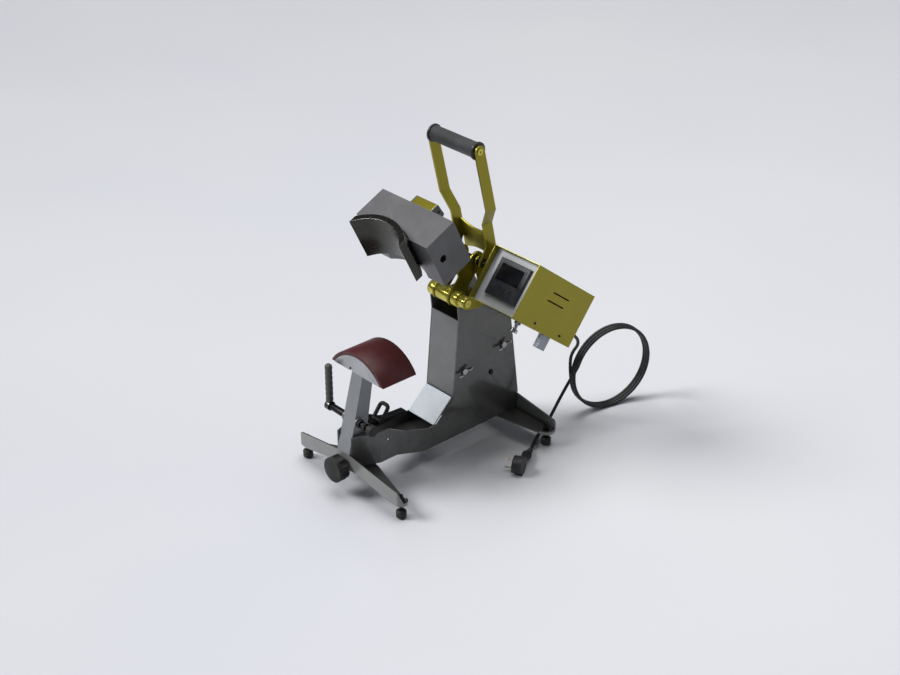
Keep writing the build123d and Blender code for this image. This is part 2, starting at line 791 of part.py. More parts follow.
def heater():
    """Curved heating plate under the housing and the thin liner between them."""
    y_low, y_high = heater_front_y, heater_front_y + heater_length
    half = heater_half_width
    top = platen_axis_z + heater_outer
    span = [(-half, platen_axis_z), (half, platen_axis_z), (half, top), (-half, top)]
    ring = rod_y(0, platen_axis_z, heater_outer, y_low, y_high)
    ring -= rod_y(0, platen_axis_z, heater_inner, y_low - 1, y_high + 1)
    nodes["heating_plate"] = opened(ring & prism_y(span, y_low, y_high))
    y_low = housing_front_y + liner_recess
    liner = rod_y(0, platen_axis_z, housing_arc, y_low, y_high)
    liner -= rod_y(0, platen_axis_z, heater_outer, y_low - 1, y_high + 1)
    above = [(-200, housing_bottom_z), (200, housing_bottom_z), (200, 500), (-200, 500)]
    nodes["heater_liner"] = opened(liner & prism_y(above, y_low, y_high))


# ---- Handle ----------------------------------------------------------------------------------------------------------
def bar_outline():
    """Side view (y, z) of a handle bar from its round grip end to its pivot lobe."""
    half = bar_width / 2
    upper = tapered_link((grip_y, grip_z), half, (bar_knee_y, bar_knee_z), half)
    middle = tapered_link((bar_knee_y, bar_knee_z), half, (bar_bend_y, bar_bend_z), half)
    rear_low = (bar_rear_low_y - half, bar_rear_low_z)
    lower = tapered_link((bar_bend_y, bar_bend_z), half, rear_low, half)
    foot = tapered_link(rear_low, half, (handle_pivot_y, handle_pivot_z), handle_lobe_radius)
    return upper + middle + lower + foot


def handle():
    """Two joggled bars, the tie plate between them, and the grip on its rod."""
    low, high = handle_inner_half, handle_grip_half
    thick = handle_plate
    strip = [
        (low, 0),
        (low, joggle_low_z),
        (high, joggle_high_z),
        (high, 900),
        (high + thick, 900),
        (high + thick, joggle_high_z),
        (low + thick, joggle_low_z),
        (low + thick, 0),
    ]
    bar = prism_x(bar_outline(), low, high + thick) & prism_y(strip, 0, 600)
    bar -= rod_x(handle_pivot_y, handle_pivot_z, handle_bolt_dia / 2 + RUN, 0, 100)
    bar -= rod_x(grip_y, grip_z, grip_rod_dia / 2 + SEAT, 0, 100)
    both_sides("handle_bar", bar)
    outer = high + thick
    rod = rod_x(grip_y, grip_z, grip_rod_dia / 2, -outer, outer)
    rod += rod_x(grip_y, grip_z, grip_head_dia / 2, outer, outer + grip_head)
    rod += rod_x(grip_y, grip_z, grip_head_dia / 2, -outer - grip_head, -outer)
    socket = rod_x(grip_y, grip_z, grip_socket_dia / 2, outer, outer + grip_head)
    nodes["grip_rod"] = rod - socket - mirrored(socket)
    end = high - grip_end_gap
    sleeve = rod_x(grip_y, grip_z, grip_dia / 2, -end, end)
    for x_low, x_high in ((end - grip_collar, end), (-end, -end + grip_collar)):
        collar = rod_x(grip_y, grip_z, grip_collar_dia / 2, x_low, x_high)
        sleeve += fillet(collar.edges().filter_by(GeomType.CIRCLE), grip_collar / 4)
    nodes["handle_grip"] = sleeve - rod_x(grip_y, grip_z, grip_rod_dia / 2 + SEAT, -100, 100)


def tie():
    """Plate across the back of the bars, with a hollow upper edge and an arched lower edge."""
    half = handle_inner_half
    front = [(-half, tie_low_z), (half, tie_low_z), (half, tie_high_z), (-half, tie_high_z)]
    face = polygon(front) - disc((0, tie_hollow_z), tie_hollow) - disc((0, tie_arch_z), tie_arch)
    lean = degrees(atan2(bar_rear_low_y - bar_bend_y - bar_width / 2, bar_bend_z - bar_rear_low_z))
    plate = prism_y(face, -tie_plate / 2, tie_plate / 2)
    place = Pos(0, bar_rear_low_y - tie_plate / 2 - 1.5, bar_rear_low_z)
    return place * Rot(lean, 0, 0) * Pos(0, 0, -bar_rear_low_z) * plate


def handle_pivot():
    """Bolt through the arms, with bushes that keep bars, stays and arms apart."""
    y, z = handle_pivot_y, handle_pivot_z
    radius = handle_bolt_dia / 2
    end = handle_inner_half + handle_plate + SIDE
    bolt = rod_x(y, z, radius, -end, end)
    bolt += hex_bar_x(y, z, handle_bolt_flats, end, end + handle_bolt_head)
    bolt += hex_bar_x(y, z, handle_bolt_flats, -end - handle_bolt_head, -end)
    nodes["handle_pivot_bolt"] = bolt
    bushes = []
    stay_outer = stay_inner_half + stay_plate
    spans = ((arm_outer_half, stay_inner_half - SIDE), (stay_outer + SIDE, handle_inner_half - SIDE))
    for low, high in spans:
        for x_low, x_high in ((low, high), (-high, -low)):
            ring = rod_x(y, z, handle_bush_dia / 2, x_low, x_high)
            bushes.append(ring - rod_x(y, z, radius + SEAT, x_low - 1, x_high + 1))
    nodes["handle_bushes"] = Compound(bushes)


def stays():
    """Slotted stays: turn on the handle bolt and slide over the pin in the column."""
    start = (handle_pivot_y, handle_pivot_z)
    closed = handle_pivot_closed()
    reach_open = hypot(stay_pin_y - start[0], stay_pin_z - start[1])
    reach_closed = hypot(stay_pin_y - closed[0], stay_pin_z - closed[1])
    along = ((stay_pin_y - start[0]) / reach_open, (stay_pin_z - start[1]) / reach_open)
    pin = stay_pin_dia / 2

    def point(distance):
        return start[0] + along[0] * distance, start[1] + along[1] * distance

    half = stay_width / 2
    slot_end = reach_closed + stay_end_play
    outline = tapered_link(start, half, point(slot_end + pin + stay_end_wall - half), half)
    slot = tapered_link(point(reach_open - 0.5), pin + stay_slot_play, point(slot_end), pin + stay_slot_play)
    plate = prism_x(outline - slot, stay_inner_half, stay_inner_half + stay_plate)
    plate -= rod_x(start[0], start[1], handle_bolt_dia / 2 + RUN, 0, 100)
    nodes["slotted_stays"] = Compound([plate, mirrored(plate)])


# ---- Cap clamp -----------------------------------------------------------------------------------------------------------
def clamp():
    """Hand lever and knob on a cross shaft through the post."""
    radius = clamp_shaft_dia / 2
    wall = post_half_at(clamp_z - clamp_flange_dia / 2) + SEAT
    flanges = []
    for low, high in ((wall, wall + clamp_flange), (-wall - clamp_flange, -wall)):
        flange = rod_x(clamp_y, clamp_z, clamp_flange_dia / 2, low, high)
        flanges.append(flange - rod_x(clamp_y, clamp_z, radius + RUN, -100, 100))
    nodes["clamp_flanges"] = Compound(flanges)
    nodes["clamp_shaft"] = rod_x(clamp_y, clamp_z, radius, clamp_shaft_left, clamp_knob_x + clamp_knob_width - 3.0)
    hub_low, hub_high = lever_x - lever_hub_width / 2, lever_x + lever_hub_width / 2
    bar = rod_x(clamp_y, clamp_z, lever_hub_dia / 2, hub_low, hub_high)
    grip_low = lever_top_z - lever_grip_length
    bar += rod_z(lever_x, clamp_y, lever_bar_dia / 2, clamp_z, lever_top_z - 6.0)
    bar -= rod_x(clamp_y, clamp_z, radius + SEAT, -100, 100)
    nodes["clamp_lever"] = bar
    grip = rod_z(lever_x, clamp_y, lever_grip_dia / 2, grip_low, lever_top_z)
    grip = fillet(grip.edges().filter_by(GeomType.CIRCLE).sort_by(Axis.Z)[-1], 6.0)
    pitch = lever_grip_length / (lever_grooves + 1)
    for index in range(lever_grooves):
        z = grip_low + pitch * (index + 0.8)
        ring = Pos(lever_x, clamp_y, z) * Torus(lever_grip_dia / 2 + 3.0, 3.0 + lever_groove_depth)
        grip -= ring
    grip -= rod_z(lever_x, clamp_y, lever_bar_dia / 2 + SEAT, 0, lever_top_z - 6.0)
    nodes["lever_grip"] = grip
    nuts = []
    gap = wall + clamp_flange + SIDE
    for start in (gap, gap + clamp_nut_width + clamp_nut_gap):
        nut = hex_bar_x(clamp_y, clamp_z, clamp_nut_flats, start, start + clamp_nut_width)
        nuts.append(nut - rod_x(clamp_y, clamp_z, radius + SEAT, -100, 100))
    spacer = rod_x(clamp_y, clamp_z, clamp_spacer_dia / 2, hub_high, -gap)
    nuts.append(spacer - rod_x(clamp_y, clamp_z, radius + SEAT, -100, 100))
    nodes["clamp_shaft_nuts"] = Compound(nuts)
    knob = rod_x(clamp_y, clamp_z, clamp_knob_dia / 2, clamp_knob_x, clamp_knob_x + clamp_knob_width)
    knob = fillet(knob.edges().filter_by(GeomType.CIRCLE), 2.5)
    knob -= rod_x(clamp_y, clamp_z, radius + RUN, 0, clamp_knob_x + clamp_knob_width - 3.0 + RUN)
    nodes["clamp_knob"] = knob


def clamp_arm():
    """Arm behind the post that holds the cap's brim, with its bent hook."""
    half = clamp_arm_half
    tall = clamp_arm_height / 2
    end_z = arm_pin_z - clamp_arm_drop
    outline = tapered_link((arm_pin_y, arm_pin_z), tall + 3.0, (clamp_arm_end_y, end_z), tall)
    arm = prism_x(outline, -half, half)
    arm -= rod_x(arm_pin_y, arm_pin_z, arm_pin_dia / 2 + RUN, -50, 50)
    nodes["clamp_arm"] = arm
    y, low, rise = hook_y, end_z, hook_rise
    path = FilletPolyline(
        (hook_half, y - 22.0, low + tall + 1.0),
        (hook_half, y, low + rise + tall),
        (-hook_half, y, low + rise + tall),
        (-hook_half, y - 22.0, low + tall + 1.0),
        radius=8.0,
    )
    tube = sweep(Plane(origin=path @ 0, z_dir=path % 0) * Circle(hook_tube_dia / 2), path=path)
    feet_bar = rod_x(y - 22.0, low + tall + 1.0, hook_tube_dia / 2, -hook_half, hook_half)
    nodes["clamp_hook"] = (tube + feet_bar) - arm


# ---- Front knob -------------------------------------------------------------------------------------------------------------
def front_knob():
    y_low, y_high = front_knob_face_y, front_knob_face_y + front_knob_length
    radius = front_knob_dia / 2
    knob = rod_y(0, front_knob_z, radius, y_low, y_high)
    knob = fillet(knob.edges().filter_by(GeomType.CIRCLE), 2.0)
    for index in range(front_knob_flutes):
        angle = 2 * pi * index / front_knob_flutes
        reach = radius + front_knob_flute * 0.4
        x, z = reach * cos(angle), front_knob_z + reach * sin(angle)
        knob -= rod_y(x, z, front_knob_flute, y_low + front_knob_lip, y_high + 1)
    knob += rod_y(0, front_knob_z, front_knob_boss_dia / 2, y_high - 0.5, -front_beam_root - SIDE)
    knob -= rod_y(0, front_knob_z, front_screw_dia / 2 + SEAT, y_low + 8.0, 0)
    nodes["front_knob"] = knob
    screw = rod_y(0, front_knob_z, front_screw_dia / 2, y_low + 8.0, front_screw_end_y)
    ring_start = -front_beam_root + sheet + SIDE
    screw += rod_y(0, front_knob_z, front_screw_dia / 2 + 3.0, ring_start, ring_start + 6.0)
    nodes["front_screw"] = screw


# ---- Control box --------------------------------------------------------------------------------------------------------------
box_right = box_left + box_width
box_back = box_front + box_depth
box_top = box_floor + box_height
panel_front = box_front + panel_recess
controller_x = box_left + box_width / 2 + controller_offset
controller_z = box_floor + box_height / 2 + controller_rise


def box_shell():
    """Folded box shell, open at the front and back, with the lug on its left wall."""
    wall = box_sheet
    shell = block(box_left, box_right, box_front, box_back, box_floor, box_top)
    shell -= block(
        box_left + wall, box_right - wall, box_front - 1, box_back - wall, box_floor + wall, box_top - wall
    )
    lug = tapered_link((0, 0), lug_radius, (lug_back / 2, box_floor + 6.0), lug_back / 2)
    shell += prism_x(lug, box_left, box_left + wall)
    inside = block(
        box_left + wall, box_right - wall, box_front - 1, box_back - wall, box_floor + wall, box_top - wall
    )
    shell -= inside
    shell -= rod_x(0, 0, shaft_dia / 2 + SEAT, 0, 100)
    for index in range(2):
        low = box_front + vent_back - index * vent_step
        z = box_top - vent_drop - index * vent_pitch
        half = vent_width / 2
        shell -= block(box_right - wall - 1, box_right + 1, low, low + vent_length, z - half, z + half)
    shell -= rod_y(gland_x, box_top - gland_drop, gland_dia / 2 + SEAT, box_back - wall - 1, box_back + 1)
    shell -= rod_z(box_bolt_x, box_front + box_bolt_back, box_bolt_dia / 2 + SEAT, 0, box_floor + wall + 1)
    nodes["box_shell"] = on_box(shell)


def box_front_panel():
    wall = box_sheet
    panel = block(
        box_left + wall, box_right - wall, panel_front, panel_front + panel_sheet, box_floor + wall, box_top - wall
    )
    half_w = controller_width / 2 - controller_body_margin
    half_h = controller_height / 2 - controller_body_margin
    cut = block(
        controller_x - half_w, controller_x + half_w, panel_front - 1, panel_front + 10,
        controller_z - half_h, controller_z + half_h
    )
    nodes["front_panel"] = on_box(panel - cut)


def controller():
    """Temperature controller: flanged face, body behind the panel, and two buttons."""
    half_w, half_h = controller_width / 2, controller_height / 2
    face = block(
        controller_x - half_w, controller_x + half_w, panel_front - controller_bezel, panel_front,
        controller_z - half_h, controller_z + half_h
    )
    face = chamfer(face.edges().group_by(Axis.Y)[0], 1.5)
    half_w -= controller_body_margin
    half_h -= controller_body_margin
    body = face + block(
        controller_x - half_w, controller_x + half_w, panel_front, panel_front + controller_body_depth,
        controller_z - half_h, controller_z + half_h
    )
    face_y = panel_front - controller_bezel
    low_z = controller_z - button_drop
    for side, name in ((-1, "left"), (1, "right")):
        x = controller_x + button_shift + side * button_spacing / 2
        depth = button_travel + 2.0
        body -= rod_y(x, low_z, button_dia / 2 + 0.2, face_y - 1, face_y + depth + 0.3)
        button = rod_y(x, low_z, button_dia / 2, face_y - button_stand, face_y + depth - button_travel)
        nodes["controller_button_" + name] = on_box(button)
    nodes["controller"] = on_box(body)


def box_fittings():
    """Heatsink, hanging bolt and cord gland."""
    wall = box_sheet
    x_high = box_right - heatsink_right
    x_low = x_high - heatsink_width
    y_high = box_back - heatsink_back
    y_low = y_high - heatsink_length
    sink = block(x_low, x_high, y_low, y_high, box_floor - heatsink_height, box_floor)
    step = heatsink_fin + heatsink_gap
    y = y_low + heatsink_fin
    while y + heatsink_gap < y_high:
        sink -= block(
            x_low - 1, x_high - heatsink_fin, y, y + heatsink_gap,
            box_floor - heatsink_height - 1, box_floor - heatsink_base,
        )
        y += step
    nodes["heatsink"] = on_box(sink)
    x, y = box_bolt_x, box_front + box_bolt_back
    bolt = rod_z(x, y, box_bolt_dia / 2, box_floor - box_bolt_length, box_floor + wall)
    bolt += hex_bar_z(x, y, box_bolt_flats, box_floor - nut_height, box_floor)
    low = box_floor - box_bolt_length
    bolt += rod_z(x, y, box_bolt_dia, low, low + box_bolt_head)
    bolt += rod_z(x, y, box_bolt_dia * 0.875, box_floor + wall, box_floor + wall + box_bolt_dia / 2)
    nodes["box_bolt"] = on_box(bolt)
    z = box_top - gland_drop
    gland = rod_y(gland_x, z, gland_flange_dia / 2, box_back, box_back + gland_flange)
    gland += rod_y(gland_x, z, gland_dia / 2, box_back - wall - 6.0, box_back + gland_length)
    nodes["cord_gland"] = on_box(gland)


# ---- Side plate fasteners ---------------------------------------------------------------------------------------------------------
def wing_bolts():
    """Wing bolts in the right side plate, its button-head screw and the box screws."""
    outer = base_half_width
    for name, y, z in wing_bolt_places:
        radius = wing_bolt_dia / 2
        bolt = rod_x(y, z, radius, base_inner_half - weld_nut_height, outer + 1)
        bolt += rod_x(y, z, wing_hub_dia / 2, outer + SIDE, outer + wing_hub_length)
        wing = polygon([
            (-wing_span / 2, wing_height - 3.0),
            (-wing_span / 2 + 7.0, wing_height),
            (-3.0, 5.0),
            (3.0, 5.0),
            (wing_span / 2 - 7.0, wing_height),
            (wing_span / 2, wing_height - 3.0),
            (5.0, 1.0),
            (-5.0, 1.0),
        ])
        blade = extrude(wing, wing_sheet / 2, both=True)
        c, s = cos(radians(wing_turn)), sin(radians(wing_turn))
        blade = Plane(origin=(outer, y, z), x_dir=(0, c, s), z_dir=(0, s, -c)) * blade
        nodes["wing_bolt_" + name] = bolt + blade
    y, z = side_screw_y, side_screw_z
    head = rod_x(y, z, side_screw_head_dia / 2, outer, outer + side_screw_head)
    head = fillet(head.edges().filter_by(GeomType.CIRCLE).sort_by(Axis.X)[-1], 2.0)
    screw = head + rod_x(y, z, side_screw_dia / 2, base_inner_half, outer)
    socket = Pos(outer + 1.5, y, z) * Rot(0, 90, 0) * extrude(RegularPolygon(2.0, 6), 5)
    screws = [screw - socket]
    for back in box_screw_places:
        height = box_floor + box_screw_rise
        head = rod_x(box_front + back, height, box_screw_dia / 2, box_right, box_right + box_screw_head)
        screws.append(on_box(head))
    nodes["small_screws"] = Compound(screws)


# ---- Cord -----------------------------------------------------------------------------------
def cord_tube(points):
    """Tube through hand-placed points; each arc is as large as its two runs allow."""
    runs = [b - a for a, b in zip(points, points[1:])]
    radii = []
    for before, after in zip(runs, runs[1:]):
        half_turn = radians(before.get_angle(after) / 2)
        radii.append(0.45 * min(before.length, after.length) / tan(half_turn))
    path = FilletPolyline(*points, radius=radii)
    tube = sweep(Plane(origin=path @ 0, z_dir=path % 0) * Circle(cord_dia / 2), path=path)
    expected = pi * cord_dia ** 2 / 4 * path.length
    print("cord runs", [round(run.length) for run in runs], "radii", [round(r) for r in radii])
    print("cord volume", round(tube.volume), "expected", round(expected), "length", round(path.length))
    return tube


def cord():
    """Power cord from the gland to the coil and from the coil to the plug."""
    exit_y, exit_z = turned(box_back + gland_length, box_top - gland_drop, -box_tilt)
    start = Vector(gland_x, pivot_y + exit_y, pivot_z + exit_z)
    to_coil = cord_tube([start] + [Vector(*point) for point in cord_to_coil])
    to_plug = cord_tube([Vector(*point) for point in cord_to_plug])
    nodes["power_cord"] = Compound([to_coil, to_plug])
    outer = coil_radius + cord_dia / 2
    width = coil_turns * coil_pitch + cord_dia
    ring = Cylinder(outer, width) - Cylinder(outer - cord_dia, width)
    ring = fillet(ring.edges().filter_by(GeomType.CIRCLE), cord_dia * 0.4)
    place = Pos(coil_x, coil_y, table_z + outer) * Rot(0, 0, coil_turn) * Rot(90, 0, 0)
    nodes["cord_coil"] = place * ring


def plug():
    """Right-angle plug that stands on its rim: sleeve, grip, round body and two pins."""
    entry = Vector(*cord_to_plug[-1])
    centre = Vector(plug_body_x, plug_body_y, table_z + plug_dia / 2 + SIDE)
    along = centre - entry
    length = along.length
    place = Plane(origin=entry, x_dir=Vector(0, 0, 1).cross(along), z_dir=along)
    pin_side = plug_thickness / 2
    body = Pos(0, 0, plug_sleeve_length / 2) * Cone(cord_dia / 2 + 1.5, plug_sleeve_dia / 2, plug_sleeve_length)
    collar = Cylinder(plug_collar_dia / 2, plug_collar)
    body += Pos(0, 0, plug_sleeve_length + plug_collar / 2) * collar
    grip_length = length - plug_sleeve_length - plug_dia / 4
    body += Pos(0, 0, plug_sleeve_length + grip_length / 2) * Cylinder(plug_grip_dia / 2, grip_length)
    body += Pos(0, 0, length) * Rot(0, 90, 0) * Cylinder(plug_dia / 2, plug_thickness)
    pins = []
    for side in (-1, 1):
        middle = pin_side + plug_pin_length / 2
        pin = Pos(-middle, side * plug_pin_spacing / 2, length)
        pin = pin * Rot(0, 90, 0) * Cylinder(plug_pin_dia / 2, plug_pin_length)
        pins.append(place * pin)
    nodes["plug_body"] = place * body
    nodes["plug_pins"] = Compound(pins)


def build_all():
    side_plates()
    foot_beams()
    feet()
    base_plates()
    post()
    platen()
    pivot()
    arm_plates()
    head_block()
    housing()
    heater()
    handle()
    nodes["handle_tie"] = tie() - nodes["handle_bar_right"] - nodes["handle_bar_left"]
    handle_pivot()
    stays()
    clamp()
    clamp_arm()
    front_knob()
    box_shell()
    box_front_panel()
    controller()
    box_fittings()
    wing_bolts()
    cord()
    plug()


build_all()

own = [shape.bounding_box() for name, shape in nodes.items() if name not in cord_nodes]
origin_x = (min(box.min.X for box in own) + max(box.max.X for box in own)) / 2
origin_y = (min(box.min.Y for box in own) + max(box.max.Y for box in own)) / 2
for name, shape in nodes.items():
    export_step(Pos(-origin_x, -origin_y, -table_z) * shape, "parts/" + name + ".step")
print("origin", origin_x, origin_y, "nodes", len(nodes))
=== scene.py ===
import bmesh
import bpy
import math
from mathutils import Matrix, Vector


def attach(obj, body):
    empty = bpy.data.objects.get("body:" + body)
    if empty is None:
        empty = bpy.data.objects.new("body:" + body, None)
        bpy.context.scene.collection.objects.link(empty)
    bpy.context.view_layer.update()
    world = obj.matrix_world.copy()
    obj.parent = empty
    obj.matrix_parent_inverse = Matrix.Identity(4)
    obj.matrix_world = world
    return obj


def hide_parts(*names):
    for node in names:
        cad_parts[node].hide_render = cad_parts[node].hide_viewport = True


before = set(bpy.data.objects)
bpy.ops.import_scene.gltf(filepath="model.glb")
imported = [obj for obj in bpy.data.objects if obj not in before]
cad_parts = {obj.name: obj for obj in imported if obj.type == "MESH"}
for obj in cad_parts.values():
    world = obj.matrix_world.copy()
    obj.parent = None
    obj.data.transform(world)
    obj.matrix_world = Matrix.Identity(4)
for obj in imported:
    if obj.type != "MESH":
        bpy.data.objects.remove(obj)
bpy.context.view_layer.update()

# ---- Places ---------------------------------------------------------------------------
# Drawing millimetres (symmetry plane, line of the front feet, base line) to the frame's metres.
ORIGIN_X = 10.25
ORIGIN_Y = 220.6946
TABLE_Z = 5.0
MM = 0.001


def at(x, y, z):
    """A point of the drawing, in the frame."""
    return Vector(((x - ORIGIN_X) * MM, (y - ORIGIN_Y) * MM, (z - TABLE_Z) * MM))


def linked(name, data):
    """A new object in the scene."""
    obj = bpy.data.objects.new(name, data)
    bpy.context.scene.collection.objects.link(obj)
    return obj


# ---- Camera ---------------------------------------------------------------------------
CAMERA_TURN = 47.92            # degrees round the object, from its front
CAMERA_RISE = 28.98            # degrees above the table
CAMERA_PLACE = (2.29038, -2.03226, 1.9650)
CAMERA_REACH = 100             # metres
LENS = 68.54
SENSOR = 36.0


def add_camera():
    turn, rise = math.radians(CAMERA_TURN), math.radians(CAMERA_RISE)
    back = Vector((
        math.sin(turn) * math.cos(rise),
        -math.cos(turn) * math.cos(rise),
        math.sin(rise),
    ))
    right = Vector((math.cos(turn), math.sin(turn), 0))
    up = back.cross(right)
    data = bpy.data.cameras.new("camera")
    data.lens = LENS
    data.sensor_width = SENSOR
    data.sensor_fit = "HORIZONTAL"
    data.clip_end = CAMERA_REACH
    camera = linked("camera", data)
    rotation = Matrix((right, up, back)).transposed().to_4x4()
    camera.matrix_world = Matrix.Translation(CAMERA_PLACE) @ rotation
    bpy.context.scene.camera = camera


add_camera()

# ---- Cord -----------------------------------------------------------------------------
# The route of the CAD model, in the same drawing millimetres: gland, coil, plug.
CORD = 7.0                     # diameter
EXIT = (150.0, 452.859, 264.219)
TO_COIL = [
    (150.0, 476.5, 245.7),
    (137.0, 512.0, 206.0),
    (104.0, 522.0, 162.0),
    (99.5, 524.0, 135.0),
    (99.1, 526.6, 108.0),
]
TO_PLUG = [
    (120.5, 525.0, 130.0),
    (118.0, 505.0, 107.0),
    (113.0, 482.0, 70.0),
    (110.0, 460.0, 35.0),
    (112.0, 440.0, 14.0),
    (118.0, 411.0, 10.0),
    (155.3, 353.0, 12.5),
]
COIL_MIDDLE = Vector((129.6, 618.8, 105.0))
COIL_RADIUS = 96.5
COIL_WIDTH = 21.3              # from the first turn to the last, side by side
COIL_TURN = math.radians(78.0)
COIL_START, COIL_END = 203.0, 1225.0   # degrees round the coil
POINTS_A_TURN = 16
PULL_IN = 0.981                # a smooth line stays this share of its control points' radius
SPLINE_STEPS = 8               # pieces of line from one control point to the next
ROUND_STEPS = 6                # steps round a quarter of the cord


def coil_points():
    """Control points of the turns, which stand side by side on the table."""
    across = Vector((math.cos(COIL_TURN), math.sin(COIL_TURN), 0))
    axis = Vector((math.sin(COIL_TURN), -math.cos(COIL_TURN), 0))
    count = round((COIL_END - COIL_START) / 360 * POINTS_A_TURN)
    points = []
    for i in range(count + 1):
        share = i / count
        angle = math.radians(COIL_START + (COIL_END - COIL_START) * share)
        ring = across * math.cos(angle) + Vector((0, 0, 1)) * math.sin(angle)
        aside = axis * COIL_WIDTH * (share - 0.5)
        points.append(COIL_MIDDLE + ring * (COIL_RADIUS / PULL_IN) + aside)
    return points


def spline_curve(name, points, bevel):
    """One smooth open line with these control points, bevel metres thick to each side."""
    data = bpy.data.curves.new(name, "CURVE")
    data.dimensions = "3D"
    data.resolution_u = SPLINE_STEPS
    data.bevel_depth = bevel
    data.bevel_resolution = ROUND_STEPS
    data.use_fill_caps = bevel > 0
    spline = data.splines.new("NURBS")
    spline.points.add(len(points) - 1)
    for control, point in zip(spline.points, points):
        control.co = (*at(*point), 1)
    spline.order_u = 3
    spline.use_endpoint_u = True
    return linked(name, data)


ROUTE = [EXIT, *TO_COIL, *coil_points(), *TO_PLUG]
cord = spline_curve("mains_cord", ROUTE, CORD / 2 * MM)


def route_line(points):
    """The line that a cord with these control points follows, as points in the frame."""
    guide = spline_curve("guide", points, 0)
    mesh = bpy.data.meshes.new_from_object(guide)
    line = [v.co.copy() for v in mesh.vertices]
    bpy.data.meshes.remove(mesh)
    data = guide.data
    bpy.data.objects.remove(guide)
    bpy.data.curves.remove(data)
    return line


def tube(name, line, sizes, sides=24):
    """A turned sleeve round a line: sizes are (distance along the line, radius) in metres."""
    lengths = [0.0]
    for a, b in zip(line, line[1:]):
        lengths.append(lengths[-1] + (b - a).length)

    def place(distance):
        """The point at this distance along the line, and the line's direction there."""
        for i in range(1, len(line)):
            if lengths[i] >= distance or i == len(line) - 1:
                ahead = (line[i] - line[i - 1]).normalized()
                return line[i - 1] + ahead * (distance - lengths[i - 1]), ahead

    made = bmesh.new()
    rings = []
    for distance, radius in sizes:
        centre, ahead = place(distance)
        if rings:
            side = (side - ahead * side.dot(ahead)).normalized()
        else:
            side = ahead.orthogonal().normalized()
        other = ahead.cross(side)
        rings.append([
            made.verts.new(centre + (side * math.cos(a) + other * math.sin(a)) * radius)
            for a in (2 * math.pi * k / sides for k in range(sides))
        ])
    for low, high in zip(rings, rings[1:]):
        for k in range(sides):
            after = (k + 1) % sides
            face = made.faces.new((low[k], low[after], high[after], high[k]))
            face.smooth = True
    made.faces.new(list(reversed(rings[0])))
    made.faces.new(rings[-1])
    mesh = bpy.data.meshes.new(name)
    made.to_mesh(mesh)
    made.free()
    return linked(name, mesh)


RIB_START, RIB_END, RIB_FOOT = 0.12, 0.7, 0.82   # shares of the way from one rib to the next


def ribbed(length, start, end, ribs, depth):
    """Sizes of a tapered sleeve with ribs, from millimetres: radii at its start and end."""
    sizes = []
    for i in range(ribs):
        for share, cut in ((0.0, depth), (RIB_START, 0), (RIB_END, 0), (RIB_FOOT, depth)):
            s = (i + share) / ribs
            sizes.append((s * length, start + (end - start) * s - cut))
    sizes.append((length, end - depth))
    return [(d * MM, r * MM) for d, r in sizes]


# The tapered strain relief, from the gland along the cord.
relief = tube(
    "strain_relief", route_line(ROUTE),
    ribbed(length=34.0, start=6.4, end=4.7, ribs=7, depth=0.7),
)

# The ribbed sleeve of the plug, on the straight line from the cord's end to the plug's middle.
PLUG_MIDDLE = (192.0, 284.0, 24.3)
sleeve = tube(
    "plug_sleeve", [at(*TO_PLUG[-1]), at(*PLUG_MIDDLE)],
    ribbed(length=24.0, start=6.0, end=7.8, ribs=5, depth=1.1),
)


# ---- Materials ------------------------------------------------------------------------
def linear(red, green, blue):
    """An sRGB colour, 0 to 255, as linear values."""
    values = []
    for v in (red, green, blue):
        v /= 255
        values.append(v / 12.92 if v <= 0.04045 else ((v + 0.055) / 1.055) ** 2.4)
    return (*values, 1)


def mixed(colour, other, share):
    """A colour with a share of another in it."""
    return tuple(a + (b - a) * share for a, b in zip(colour, other))


WHITE = (1, 1, 1, 1)
BLACK = (0, 0, 0, 1)
EVEN = (1, 1, 1)
ALONG_Y, ALONG_Z = (1, 0.05, 1), (1, 1, 0.05)   # grain drawn out along one axis
NOISE_ROUGHNESS = 0.55
FLAT, ROUNDED = 0.995, 0.80    # agreement of the rounded normal with the face's own


